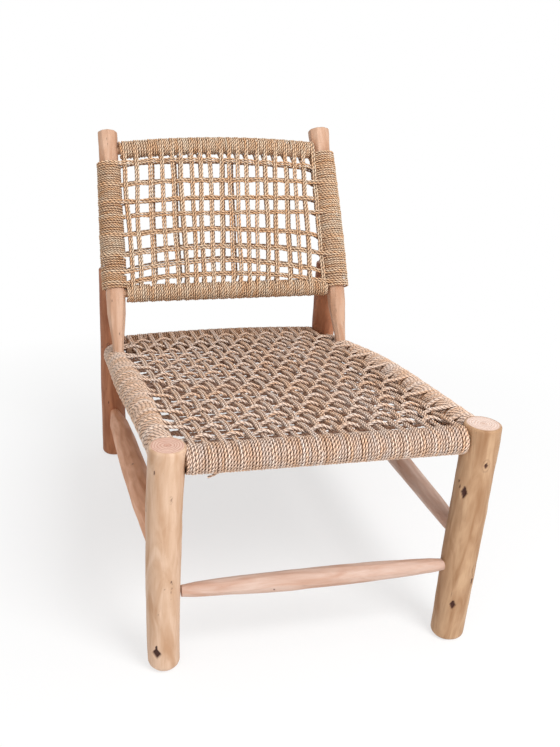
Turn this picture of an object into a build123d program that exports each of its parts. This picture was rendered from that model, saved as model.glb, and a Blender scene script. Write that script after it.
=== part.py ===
from build123d import *

import os
from math import atan2, cos, degrees, pi, sqrt

# Low lounge chair of peeled poles with a hand-woven rope seat and back.
#
# Millimetres, +Z up.  The chair faces -Y.  It is drawn with the floor at z = 0 and y = 0 at the
# top of the left front leg, and every piece is moved at the end so that the origin lies on the
# floor under the middle of the chair's box.

# ---------------------------------------------------------------- legs
front_spacing = 500  # between the front legs' axes, at their tops
rear_spacing = 498
depth = 766  # from the front legs' axes back to the rear legs'
front_height = 400
front_leg_radii = {"left": (24.5, 26.5, 28), "right": (33, 33, 30)}  # foot, middle, top
rear_leg_radii = (27, 26.5, 26)
rear_leg_bevel = 15.3  # the slant on a rear leg's top, where the upright leans, is this high
right_leg_forward = 13  # the right front leg stands this much ahead of the left one
foot_out = {"left": 3, "right": -8}  # hand-set feet: outward from the leg's top
foot_back = {"left": 8, "right": -2}  # and backward from it
foot_round = 9
rounding = 0.3  # share of a foot's round at which its two flats meet
foot_spare = 0.6  # a leaning log is sawn off level this far above its end
top_round = 2.5
leg_flats = 16  # the logs are dressed with a drawknife, which leaves long narrow flats

# ---------------------------------------------------------------- back
upright_ahead = 137  # the uprights stand in the side rails, ahead of the rear legs' axes
upright_behind = 99  # and their tops lie behind them
upright_height = 725
upright_top_in = 9  # each upright leans inward by this much
upright_radius = 21.5
upright_top_radius = 23.5
upright_toe_radius = 11  # whittled end that enters the side rail
upright_toe_length = 130
upright_flats = 14
upright_tenon_past = 9  # depth of its tenon past the side rail's axis
back_bottom_drop = 37  # from the rear legs' tops down to the bottom rail
back_top_drop = 41  # from the uprights' tops down to the top rail
back_top_bow = 13  # the top rail is a bent branch
back_rail_radius = 14.6
back_tenon_radius = 8.5

# ---------------------------------------------------------------- seat rails
front_rail_drop = 26  # from the front legs' tops
rear_rail_height = 262
rear_rail_bow = 8
side_rail_front_drop = 26
side_rail_rear_height = 250
side_rail_bow = 12
seat_rail_radius = 18.2
seat_tenon_radius = 10.5
bent_spans = 4  # straight spans that make up a bent rail
rail_flats = 12

# ---------------------------------------------------------------- stretchers
front_stretcher_height = 141
rear_stretcher_height = 150
side_stretcher_heights = {"left": (202, 108), "right": (188, 190)}  # front end, rear end
front_stretcher_radii = (12, 17)  # at its shoulders, at its middle
rear_stretcher_radii = (13, 16)
side_stretcher_radii = {"left": (20, 24), "right": (15, 18.5)}
stretcher_tenon_radius = 9
stretcher_spans = 4  # straight spans that make its swelling
stretcher_flats = 12
whittled = 26  # length over which it is cut down to its tenon

# ---------------------------------------------------------------- joints
tenon_flats = 8
tenon_tip = 12.5  # tenons end this far from a leg's axis, so that crossing ones don't meet
upright_tenon_tip = 6  # the same in the uprights
tenon_root = 12  # a tenon's root runs this far inside its bent rail
shoulder_gap = 0.5  # between a rail's shoulder and the post it enters
fit_gap = 0.1  # round a tenon or peg, and past its tip
peg_radius = 4
peg_rise = 11  # it crosses the upright's axis this far above the rear leg's top
peg_cover = 6  # wood left in front of the peg
peg_grip = 26  # how far it goes into the rear leg

# ---------------------------------------------------------------- rope and weave
rope = 4.8
strand_width = 2 * rope  # two ropes side by side
crossing_gap = 0.3
crossing_half = strand_width / 2 + 2 * crossing_gap  # level stretch each side of a crossing
landing_gap = 0.8  # clears the slant of a bent rail across a strand's width
seat_warps = 19
seat_wefts = 15
seat_margin = 37  # from a side rail's axis to the outermost warp
seat_first_weft = 50  # from the front rail's axis
seat_last_weft = 54  # from the rear rail's axis
seat_layer = 18.5  # the weave's middle plane, above or below the rails' axes
back_warps = 20
back_wefts = 8
back_margin = 44
back_first_weft = 31  # from the bottom rail's axis
back_last_weft = 28  # from the top rail's axis
back_layer = 14.5
wrap_low_gap = {"left": 16, "right": 10}  # the upright's winding starts above the rail
wrap_top_gap = {"left": 25, "right": 10}  # and stops below the top rail

seat_wrap_radius = seat_rail_radius + rope
back_wrap_radius = back_rail_radius + rope
upright_wrap_radius = upright_radius + rope
peg_head = upright_radius - peg_cover
peg_end = upright_wrap_radius + peg_grip
crossing = rope + crossing_gap  # from one rope's middle to that of the rope across it

x_axis = Vector(1, 0, 0)
y_axis = Vector(0, 1, 0)
z_axis = Vector(0, 0, 1)
straight = Vector(0, 0, 0)
sides = {"left": -1, "right": 1}
pieces = {}


# ---------------------------------------------------------------- lines of the frame
def between(start, end, share):
    return start + (end - start) * share


def middle(axis):
    return between(*axis, 0.5)


def toward(start, end):
    return (end - start).normalized()


def at_height(axis, height):
    """Point of a pole's axis at a height above the floor."""
    start, end = axis
    return between(start, end, (height - start.Z) / (end.Z - start.Z))


def level(axes, height):
    """Axis of a cross rail from the left post to the right one."""
    return at_height(axes["left"], height), at_height(axes["right"], height)


def bowed(share):
    """Height of a shallow arch at a share of its span, 1 at its crown."""
    return 4 * share * (1 - share)


def shoulder_at(post, axis, radius, bow):
    """How far from a post's axis a rail's shoulder stands.

    A sloping or bent rail has tilted shoulders, which stand back until their rims clear.
    """
    start, end = axis
    tilt = abs(toward(start, end).Z) + 4 * bow.length / (end - start).length
    return post + shoulder_gap + radius * tilt


def rail_spine(axis, posts, bow, radius):
    """Points along a wound rail's visible length, which bends by bow at its middle."""
    start, end = axis
    near = start + toward(start, end) * shoulder_at(posts[0], axis, radius, bow)
    far = end - toward(start, end) * shoulder_at(posts[1], axis, radius, bow)
    spans = bent_spans if bow.length else 1
    shares = [step / spans for step in range(spans + 1)]
    return [between(near, far, share) + bow * bowed(share) for share in shares]


def on_spine(spine, place, axis):
    """Point of a spine at a coordinate along an axis."""
    for near, far in zip(spine, spine[1:]):
        if place <= far.dot(axis):
            break
    return between(near, far, (place - near.dot(axis)) / (far.dot(axis) - near.dot(axis)))


front_axis = {}
rear_axis = {}  # these start at the floor, and their length comes from the uprights' lean
for side, sign in sides.items():
    ahead = right_leg_forward if side == "right" else 0
    top = Vector(sign * front_spacing / 2, -ahead, front_height)
    foot = Vector(top.X + sign * foot_out[side], top.Y + foot_back[side], 0)
    front_axis[side] = (foot, top)
    rear_foot = Vector(sign * rear_spacing / 2, depth, 0)
    rear_axis[side] = (rear_foot, rear_foot + z_axis)


def rear_leg_height(upright):
    """Height of a rear leg, from where its front meets the back of the wound upright."""
    behind = toward(*upright).cross(x_axis)
    ahead = depth - max(rear_leg_radii) - upright[0].Y
    touch = upright[0].Z + (ahead * behind.Y - upright_wrap_radius) / -behind.Z
    return touch + rear_leg_bevel


front_posts = tuple(max(front_leg_radii[side]) for side in sides)
rear_posts = (max(rear_leg_radii),) * 2
side_posts = {side: (max(front_leg_radii[side]), max(rear_leg_radii)) for side in sides}

seat_front_axis = level(front_axis, front_height - front_rail_drop)
seat_rear_axis = level(rear_axis, rear_rail_height)
front_stretcher_axis = level(front_axis, front_stretcher_height)
rear_stretcher_axis = level(rear_axis, rear_stretcher_height)
side_rail_axis = {}
side_stretcher_axis = {}
side_spine = {}
upright_axis = {}
for side, sign in sides.items():
    side_rail_axis[side] = (
        at_height(front_axis[side], front_height - side_rail_front_drop),
        at_height(rear_axis[side], side_rail_rear_height),
    )
    front_end, rear_end = side_stretcher_heights[side]
    side_stretcher_axis[side] = (
        at_height(front_axis[side], front_end),
        at_height(rear_axis[side], rear_end),
    )
    side_spine[side] = rail_spine(
        side_rail_axis[side], side_posts[side], z_axis * side_rail_bow, seat_wrap_radius
    )
    foot = on_spine(side_spine[side], depth - upright_ahead, y_axis)
    top = Vector(foot.X - sign * upright_top_in, depth + upright_behind, upright_height)
    upright_axis[side] = (foot, top)

back_bottom_height = rear_leg_height(upright_axis["left"]) - back_bottom_drop
back_top_height = upright_height - back_top_drop
back_bottom_axis = level(upright_axis, back_bottom_height)
back_top_axis = level(upright_axis, back_top_height)
back_up = toward(middle(back_bottom_axis), middle(back_top_axis))
back_posts = (upright_wrap_radius,) * 2


# ---------------------------------------------------------------- shapes
def hewn(axis, stations, flats):
    """Pole with flats cut along it, through stations of radius and distance from its start."""
    start, end = axis
    along = toward(start, end)
    with BuildPart() as pole:
        for (near, low), (far, high) in zip(stations, stations[1:]):
            narrowing = atan2((near - far) * cos(pi / flats), high - low)
            with BuildSketch(Plane(origin=start + along * low, z_dir=along)):
                RegularPolygon(near, flats)
            extrude(amount=high - low, taper=degrees(narrowing))
    return pole


def bent_pole(spine, radius):
    """Hewn pole along the straight spans of a spine."""
    with BuildPart() as bar:
        with BuildLine() as path:
            Polyline(*spine)
        with BuildSketch(Plane(origin=spine[0], z_dir=toward(*spine[:2]))):
            RegularPolygon(radius, rail_flats)
        sweep(path=path.line, transition=Transition.RIGHT)
    return bar


def winding(spine, radius, flats=rail_flats):
    """Sleeve that a single layer of rope makes round a hewn pole."""
    with BuildPart() as sleeve:
        with BuildLine() as path:
            Polyline(*spine)
        with BuildSketch(Plane(origin=spine[0], z_dir=toward(*spine[:2]))):
            Circle(radius + rope)
            RegularPolygon(radius, flats, mode=Mode.SUBTRACT)
        sweep(path=path.line, transition=Transition.RIGHT)
    return sleeve


def bored(point, direction, radius, surface, tip):
    """Blind hole from outside a post's surface to just past the tip that it takes."""
    with Locations(Plane(origin=point + direction * (surface + rope), z_dir=direction)):
        Hole(radius + fit_gap, depth=surface + rope - tip + fit_gap)


def mortise(axis, side, radius, tip):
    """One side's mortise for a rail that runs from left to right."""
    here, there = axis if side == "left" else reversed(axis)
    return here, toward(here, there), radius, tip


def leg(axis, radii, mortises, seat_plane=None):
    """Peeled log with an eased foot level with the floor and blind mortises for its rails."""
    low, mid, high = radii
    length = (axis[1] - axis[0]).length
    stations = [
        (low - foot_round, -foot_spare),
        (low - foot_round * rounding, foot_round * rounding),
        (low, foot_round),
        (mid, length / 2),
        (high, length - top_round),
        (high - top_round, length),
    ]
    with BuildPart() as log:
        add(hewn(axis, stations, leg_flats))
        split(bisect_by=Plane.XY, keep=Keep.TOP)
        for point, direction, radius, tip in mortises:
            bored(point, direction, radius, max(radii), tip)
        if seat_plane:
            split(bisect_by=seat_plane, keep=Keep.BOTTOM)
    return log


def tenon(origin, target, radius, tip, shoulder):
    """Eight-sided tenon from near a leg's axis to a distance from it."""
    along = toward(origin, target)
    with BuildSketch(Plane(origin=origin + along * tip, z_dir=along)) as section:
        RegularPolygon(radius, tenon_flats)
    extrude(section.sketch, amount=shoulder - tip)


def stretcher(axis, posts, radii):
    """Pole thickest at its middle, cut down by hand to a tenon at each end."""
    start, end = axis
    first, last = (
        shoulder_at(post, axis, stretcher_tenon_radius, straight) for post in posts
    )
    shoulder, swell = radii
    length = (end - start).length
    body = length - first - last - 2 * whittled
    stations = [(stretcher_tenon_radius, first)]
    for step in range(stretcher_spans + 1):
        share = step / stretcher_spans
        radius = shoulder + (swell - shoulder) * bowed(share)
        stations.append((radius, first + whittled + share * body))
    stations.append((stretcher_tenon_radius, length - last))
    with BuildPart() as pole:
        add(hewn(axis, stations, stretcher_flats))
        tenon(start, end, stretcher_tenon_radius, tenon_tip, first)
        tenon(end, start, stretcher_tenon_radius, tenon_tip, last)
    return pole


def core(axis, spine, radius, tenon_radius, tip):
    """Wood of a wound rail, with a straight tenon at each end."""
    start, end = axis
    with BuildPart() as wood:
        add(bent_pole(spine, radius))
        for origin, target, shoulder in ((start, end, spine[0]), (end, start, spine[-1])):
            inside = (shoulder - origin).length + tenon_root
            tenon(origin, target, tenon_radius, tip, inside)
    return wood


# ---------------------------------------------------------------- wound rails
spines = {
    "seat_front": rail_spine(seat_front_axis, front_posts, straight, seat_wrap_radius),
    "seat_rear": rail_spine(
        seat_rear_axis, rear_posts, z_axis * rear_rail_bow, seat_wrap_radius
    ),
    "back_bottom": rail_spine(back_bottom_axis, back_posts, straight, back_wrap_radius),
    "back_top": rail_spine(
        back_top_axis, back_posts, back_up * back_top_bow, back_wrap_radius
    ),
}
seat_size = (seat_rail_radius, seat_tenon_radius, tenon_tip)
back_size = (back_rail_radius, back_tenon_radius, upright_tenon_tip)
for name, axis, size in (
    ("seat_front", seat_front_axis, seat_size),
    ("seat_rear", seat_rear_axis, seat_size),
    ("back_bottom", back_bottom_axis, back_size),
    ("back_top", back_top_axis, back_size),
):
    radius = size[0]
    pieces[name + "_rail"] = core(axis, spines[name], *size)
    pieces[name + "_winding"] = winding(spines[name], radius)

pieces["front_stretcher"] = stretcher(
    front_stretcher_axis, front_posts, front_stretcher_radii
)
pieces["rear_stretcher"] = stretcher(rear_stretcher_axis, rear_posts, rear_stretcher_radii)

# ---------------------------------------------------------------- one side of the chair
for side in sides:
    foot, top = upright_axis[side]
    lean = toward(foot, top)
    behind = lean.cross(x_axis)  # square to the upright, toward the rear leg
    upright_length = (top - foot).length

    # the rear leg's top is cut to lie against the back of the wound upright
    seat_plane = Plane(origin=foot + behind * (upright_wrap_radius + fit_gap), z_dir=-behind)
    rear_top = rear_axis[side][0] + z_axis * rear_leg_height(upright_axis[side])
    peg_point = at_height(upright_axis[side], rear_top.Z + peg_rise)

    rail_ends = side_rail_axis[side]
    brace_ends = side_stretcher_axis[side]
    pieces["front_leg_" + side] = leg(
        front_axis[side],
        front_leg_radii[side],
        [
            mortise(seat_front_axis, side, seat_tenon_radius, tenon_tip),
            mortise(front_stretcher_axis, side, stretcher_tenon_radius, tenon_tip),
            mortise(rail_ends, "left", seat_tenon_radius, tenon_tip),
            mortise(brace_ends, "left", stretcher_tenon_radius, tenon_tip),
        ],
    )
    pieces["rear_leg_" + side] = leg(
        (rear_axis[side][0], rear_top),
        rear_leg_radii,
        [
            mortise(seat_rear_axis, side, seat_tenon_radius, tenon_tip),
            mortise(rear_stretcher_axis, side, stretcher_tenon_radius, tenon_tip),
            mortise(rail_ends, "right", seat_tenon_radius, tenon_tip),
            mortise(brace_ends, "right", stretcher_tenon_radius, tenon_tip),
            (peg_point, -behind, peg_radius, -peg_end),
        ],
        seat_plane,
    )

    # the side rail carries the foot of the upright in a mortise bored from above
    with BuildPart() as side_rail:
        add(core(rail_ends, side_spine[side], *seat_size))
        bored(foot, lean, upright_toe_radius, seat_rail_radius, -upright_tenon_past)
    pieces["seat_side_rail_" + side] = side_rail
    with BuildPart() as side_winding:
        add(winding(side_spine[side], seat_rail_radius))
        bored(foot, lean, upright_toe_radius, seat_wrap_radius + upright_toe_radius, 0)
    pieces["seat_side_winding_" + side] = side_winding

    pieces["side_stretcher_" + side] = stretcher(
        brace_ends, side_posts[side], side_stretcher_radii[side]
    )

    # the upright leans, so its toe stays thin until its front has come out of the winding
    toe_clear = (seat_wrap_radius + upright_toe_radius * abs(lean.Y)) / lean.Z
    bottom_at = (at_height(upright_axis[side], back_bottom_height) - foot).length
    top_at = (at_height(upright_axis[side], back_top_height) - foot).length
    stations = [
        (upright_toe_radius, -upright_tenon_past),
        (upright_toe_radius, toe_clear),
        (upright_radius, upright_toe_length),
        (upright_radius, top_at),
        (upright_top_radius, upright_length - top_round),
        (upright_top_radius - top_round, upright_length),
    ]
    with BuildPart() as upright:
        add(hewn(upright_axis[side], stations, upright_flats))
        for axis in (back_bottom_axis, back_top_axis):
            point, direction, radius, tip = mortise(
                axis, side, back_tenon_radius, upright_tenon_tip
            )
            bored(point, direction, radius, upright_top_radius, tip)
        bored(peg_point, behind, peg_radius, upright_radius, -peg_head)
    pieces["upright_" + side] = upright

    wound = [foot + lean * (bottom_at + wrap_low_gap[side])]
    wound.append(foot + lean * (top_at - wrap_top_gap[side]))
    with BuildPart() as upright_winding:
        add(winding(wound, upright_radius, upright_flats))
        bored(peg_point, behind, peg_radius, upright_wrap_radius, 0)
    pieces["upright_winding_" + side] = upright_winding

    with BuildPart() as peg:
        with BuildSketch(Plane(origin=peg_point - behind * peg_head, z_dir=behind)):
            Circle(peg_radius)
        extrude(amount=peg_head + peg_end)
    pieces["upright_peg_" + side] = peg


# ---------------------------------------------------------------- woven panels
class Panel:
    """A woven panel's frame: along runs up the warps and out stands square to the panel."""

    def __init__(self, start, end):
        self.origin = start
        self.along = toward(start, end)
        self.out = x_axis.cross(self.along)

    def position(self, point):
        """Distance of a point along the panel and out of it."""
        offset = point - self.origin
        return offset.dot(self.along), offset.dot(self.out)

    def warp_plane(self, x):
        return Plane(origin=self.origin + x_axis * x, x_dir=self.along, z_dir=x_axis)

    def weft_plane(self, distance):
        centre = self.origin + self.along * distance
        return Plane(origin=centre, x_dir=x_axis, z_dir=-self.along)


def strand(plane, stations):
    """Two ropes side by side, laid through stations of position and height."""
    upper = [(position, height + rope / 2) for position, height in stations]
    lower = [(position, height - rope / 2) for position, height in reversed(stations)]
    with BuildPart() as laid:
        with BuildSketch(plane):
            with BuildLine():
                Polyline(*upper, *lower, close=True)
            make_face()
        extrude(amount=strand_width / 2, both=True)
    return laid


def stretched(planes, ends, height, across):
    """Strands drawn straight over all those that they cross."""
    first, last = across[0] - crossing_half, across[-1] + crossing_half
    with BuildPart() as group:
        for plane, (start, finish) in zip(planes, ends):
            add(strand(plane, [start, (first, height), (last, height), finish]))
    return group


def darned(planes, ends, height, across):
    """Strands that pass over one and under the next, each the other way to its neighbour."""
    with BuildPart() as group:
        for row, (plane, (start, finish)) in enumerate(zip(planes, ends)):
            stations = [start]
            for column, place in enumerate(across):
                out = height + (crossing if (row + column) % 2 else -crossing)
                stations += [(place - crossing_half, out), (place + crossing_half, out)]
            add(strand(plane, stations + [finish]))
    return group


def landing(winding_radius, layer):
    """How far from a wound rail's axis a strand at this height meets the winding."""
    return sqrt(winding_radius**2 - (layer - rope / 2) ** 2) + landing_gap


def spaced(first, last, count):
    return [first + (last - first) * step / (count - 1) for step in range(count)]


def warp_ends(panel, x, rails, reach, layer):
    """Both ends of a warp, against the windings of the rails that it is drawn between."""
    ends = []
    for spine, way in zip(rails, (1, -1)):
        distance, out = panel.position(on_spine(spine, x, x_axis))
        ends.append((distance + way * reach, out + layer))
    return ends


def weft_ends(panel, distance, rails, axis, reach, layer):
    """Both ends of a weft, against the windings at the panel's two sides."""
    place = (panel.origin + panel.along * distance).dot(axis)
    ends = []
    for spine, sign in zip(rails, (-1, 1)):
        point = on_spine(spine, place, axis)
        ends.append((point.X - sign * reach, panel.position(point)[1] + layer))
    return ends


def weave(name, panel, faces, warp_rails, weft_rails, weft_axis, places, reaches, layer):
    """Both layers of a panel: warps drawn tight, and wefts darned through the face side."""
    warp_at, weft_at = places
    warp_reach, weft_reach = reaches
    warp_planes = [panel.warp_plane(x) for x in warp_at]
    weft_planes = [panel.weft_plane(distance) for distance in weft_at]
    for face, height, weft_height in zip(faces, (layer, -layer), (layer, crossing - layer)):
        lines = [warp_ends(panel, x, warp_rails, warp_reach, height) for x in warp_at]
        pieces[f"{name}_warps_{face}"] = stretched(warp_planes, lines, height, weft_at)
        lines = [
            weft_ends(panel, distance, weft_rails, weft_axis, weft_reach, height)
            for distance in weft_at
        ]
        laid = darned if face == faces[0] else stretched
        pieces[f"{name}_wefts_{face}"] = laid(weft_planes, lines, weft_height, warp_at)


seat = Panel(middle(seat_front_axis), middle(seat_rear_axis))
seat_half = min(front_spacing, rear_spacing) / 2 - seat_margin
seat_length = (middle(seat_rear_axis) - middle(seat_front_axis)).length
seat_reach = landing(seat_wrap_radius, seat_layer)
weave(
    "seat",
    seat,
    ("top", "bottom"),
    (spines["seat_front"], spines["seat_rear"]),
    (side_spine["left"], side_spine["right"]),
    y_axis,
    (
        spaced(-seat_half, seat_half, seat_warps),
        spaced(seat_first_weft, seat_length - seat_last_weft, seat_wefts),
    ),
    (seat_reach, seat_reach),
    seat_layer,
)

back = Panel(middle(back_bottom_axis), middle(back_top_axis))
back_half = abs(back_top_axis[0].X) - back_margin
back_length = (middle(back_top_axis) - middle(back_bottom_axis)).length
weave(
    "back",
    back,
    ("front", "rear"),
    (spines["back_bottom"], spines["back_top"]),
    (upright_axis["left"], upright_axis["right"]),
    z_axis,
    (
        spaced(-back_half, back_half, back_warps),
        spaced(back_first_weft, back_length - back_last_weft, back_wefts),
    ),
    (landing(back_wrap_radius, back_layer), landing(upright_wrap_radius, back_layer)),
    back_layer,
)

# ---------------------------------------------------------------- export
boxes = [piece.part.bounding_box() for piece in pieces.values()]
middle_x = (min(box.min.X for box in boxes) + max(box.max.X for box in boxes)) / 2
middle_y = (min(box.min.Y for box in boxes) + max(box.max.Y for box in boxes)) / 2
print(f"origin at x {middle_x:.3f}, y {middle_y:.3f} of the drawing")

os.makedirs("parts", exist_ok=True)
for name, piece in pieces.items():
    placed = piece.part.moved(Location((-middle_x, -middle_y, 0)))
    placed.label = name
    export_step(placed, f"parts/{name}.step")
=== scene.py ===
"""Looks of the low rope chair: peeled and cracked poles, and every rope twisted, wound and darned.

Ropes are two-ply meshes swept along worked-out paths.  Poles are dense tubes whose knots, cracks
and knife flats are cut into the mesh itself.  Meshes are worked out in millimetres, in the frame's
axes, and build() turns them into metres.  Materials, floor, lights and camera are in metres.
"""

from dataclasses import dataclass
from typing import NamedTuple

import bpy
import numpy as np
from mathutils import Matrix, Vector


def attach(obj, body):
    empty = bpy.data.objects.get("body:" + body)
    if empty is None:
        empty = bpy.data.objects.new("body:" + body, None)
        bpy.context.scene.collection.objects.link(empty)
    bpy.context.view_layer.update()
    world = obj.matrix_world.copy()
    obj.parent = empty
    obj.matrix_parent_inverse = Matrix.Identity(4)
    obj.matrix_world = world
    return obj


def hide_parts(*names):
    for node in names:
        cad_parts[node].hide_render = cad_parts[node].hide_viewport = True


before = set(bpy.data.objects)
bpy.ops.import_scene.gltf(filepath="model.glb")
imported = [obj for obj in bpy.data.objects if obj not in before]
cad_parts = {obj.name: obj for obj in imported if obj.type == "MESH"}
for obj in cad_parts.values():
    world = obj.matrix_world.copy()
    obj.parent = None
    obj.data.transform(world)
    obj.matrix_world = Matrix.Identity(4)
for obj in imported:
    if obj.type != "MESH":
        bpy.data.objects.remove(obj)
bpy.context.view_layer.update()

MM = 0.001
BODY = "root"

# ---------------------------------------------------------------- sizes, as in the CAD model
ORIGIN = np.array([-0.963, -418.335, 0.0])  # of the drawing, from the frame's own
FRONT_SPACING = 500
REAR_SPACING = 498
DEPTH = 766
FRONT_HEIGHT = 400
REAR_HEIGHT = 445
RIGHT_LEG_FORWARD = 13
SEAT_FRONT_HEIGHT = 374  # of the rails' middles
SEAT_REAR_HEIGHT = 262
SEAT_SIDE_REAR_HEIGHT = 250
BACK_BOTTOM_HEIGHT = 408
BACK_TOP_HEIGHT = {"left": 682, "right": 685.5}
SEAT_RAIL_RADIUS = 18.2
BACK_RAIL_RADIUS = 14.6
CAD_UPRIGHT_RADIUS = 21.5
GAP = 0.3  # between an upright's winding and the rear leg that is cut away for it
ROPE = 4.8
SEAT_WARPS = 19
SEAT_WEFTS = 15
SEAT_MARGIN = 37  # from a rear leg's middle to the nearest warp
SEAT_FIRST_WEFT = 50  # from the front rail's middle
SEAT_LAST_WEFT = 54  # from the rear rail's middle
SIDE_RAIL_BOW = 12
REAR_RAIL_BOW = 8
BACK_TOP_BOW = 13

# ---------------------------------------------------------------- sizes that only the looks have
UPRIGHT_RADIUS = 20.3
UPRIGHT_TOP_RADIUS = {"left": 21.0, "right": 24.3}
SIDE_RAIL_SPREAD = 3  # how far a side rail's winding bows outward
UPRIGHT_SPREAD = 1.5

UP = np.array([0.0, 0.0, 1.0])
RIGHT = np.array([1.0, 0.0, 0.0])


def point(x, y, z):
    """Point of the drawing: x from its middle, y from the left front leg's top, z from floor."""
    return np.array([x, y, z], float) + ORIGIN


def along(axis, height):
    """Point of a pole's axis at a height."""
    start, end = axis
    return start + (end - start) * (height - start[2]) / (end[2] - start[2])


def across(poles, height):
    """Points of the left and the right pole at a height."""
    return along(poles["left"], height), along(poles["right"], height)


def unit(vector):
    return vector / np.linalg.norm(vector)


def units(rows):
    return rows / np.linalg.norm(rows, axis=-1)[..., None]


FRONT_LEG = {
    "left": (point(-253, 8, 0), point(-FRONT_SPACING / 2, 0, FRONT_HEIGHT)),
    "right": (point(242, -15, 0), point(FRONT_SPACING / 2, -RIGHT_LEG_FORWARD, FRONT_HEIGHT)),
}
REAR_LEG = {
    side: tuple(point(sign * REAR_SPACING / 2, DEPTH, height) for height in (0, REAR_HEIGHT))
    for side, sign in (("left", -1), ("right", 1))
}
UPRIGHT = {
    "left": (point(-249.2, 629, 277.6), point(-240.3, 862.5, 720.5)),
    "right": (point(249.1, 629, 277.1), point(240.0, 867.5, 730)),
}
SIDE_RAIL = {
    side: (along(FRONT_LEG[side], SEAT_FRONT_HEIGHT), along(REAR_LEG[side], SEAT_SIDE_REAR_HEIGHT))
    for side in FRONT_LEG
}
SEAT_FRONT = across(FRONT_LEG, SEAT_FRONT_HEIGHT)
SEAT_REAR = across(REAR_LEG, SEAT_REAR_HEIGHT)
BACK_BOTTOM = across(UPRIGHT, BACK_BOTTOM_HEIGHT)
BACK_TOP = tuple(along(UPRIGHT[side], height) for side, height in BACK_TOP_HEIGHT.items())
BACK_UP = unit(sum(BACK_TOP) - sum(BACK_BOTTOM))


# ---------------------------------------------------------------- mesh tools
def noise(seed, waves=6):
    """Smooth random function of a number, about -1 to 1, with periods from 1 down to 1/waves."""
    rng = np.random.default_rng(seed)
    order = np.arange(1, waves + 1)
    phase = rng.uniform(0, 2 * np.pi, waves)
    size = rng.uniform(0.5, 1, waves) / order**0.7
    size /= size.sum() * 0.6

    def value(t):
        turn = 2 * np.pi * np.asarray(t, float)[..., None] * order + phase
        return (np.sin(turn) * size).sum(-1)

    return value


def placed(name, data):
    """New object in the scene."""
    thing = bpy.data.objects.new(name, data)
    bpy.context.scene.collection.objects.link(thing)
    return thing


def build(name, verts, faces, fields, material, nodes):
    """Piece of the chair from vertices, arrays of quads and triangles, and its attributes."""
    mesh = bpy.data.meshes.new(name)
    mesh.vertices.add(len(verts))
    mesh.vertices.foreach_set("co", (np.asarray(verts) * MM).astype(np.float32).ravel())
    corners = np.concatenate([face.ravel() for face in faces])
    sizes = np.concatenate([np.full(len(face), face.shape[1]) for face in faces])
    mesh.loops.add(len(corners))
    mesh.loops.foreach_set("vertex_index", corners.astype(np.int32))
    mesh.polygons.add(len(sizes))
    mesh.polygons.foreach_set("loop_start", (np.cumsum(sizes) - sizes).astype(np.int32))
    mesh.update(calc_edges=True)
    mesh.polygons.foreach_set("use_smooth", np.ones(len(sizes), bool))
    for key, values in fields.items():
        kind, entry = ("FLOAT_VECTOR", "vector") if values.ndim == 2 else ("FLOAT", "value")
        layer = mesh.attributes.new(key, kind, "POINT")
        layer.data.foreach_set(entry, values.astype(np.float32).ravel())
    mesh.materials.append(material)
    piece = placed(name, mesh)
    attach(piece, BODY)
    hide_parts(*nodes)


def band(lower, upper, around):
    """Quads between two rings, given by their first vertices."""
    spot = np.arange(around)
    after = (spot + 1) % around
    return np.stack([lower + spot, lower + after, upper + after, upper + spot], -1)


def tube_faces(rings, around, first=0, closed=False):
    """Quads of a tube whose vertices run ring by ring."""
    ring = np.arange(rings if closed else rings - 1)[:, None]
    return band(ring * around, (ring + 1) % rings * around, around).reshape(-1, 4) + first


def fan(ring_start, around, centre, flip):
    """Triangles from a centre vertex to a ring."""
    spot = np.arange(around)
    after = (spot + 1) % around
    pair = (after, spot) if flip else (spot, after)
    return np.stack([ring_start + pair[0], ring_start + pair[1], np.full(around, centre)], -1)


# ---------------------------------------------------------------- ropes
PLY = np.array([1.0, 0.92, 0.6, 0.92] * 2)  # outline of two plies lying together
GROOVE = np.array([0.0, 0.25, 1.0, 0.25] * 2)  # how deep in the groove between them a spot is, where the material paints shade
CREVICE_SHADE = 0.62  # how dark the painted shade is on a rope where the next one lies against it
CREVICE_SHADE_FROM = 0.72  # cosine, from the direction of the next rope, where that painted shade begins
AROUND = len(PLY)
ROPE_STEP = 2.0  # between the rings of a rope's mesh
LAY = 13.5  # a full turn of the plies
UNEVEN = 0.07  # share by which a rope's thickness varies
UNEVEN_LENGTH = 300  # over which it does


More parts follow.
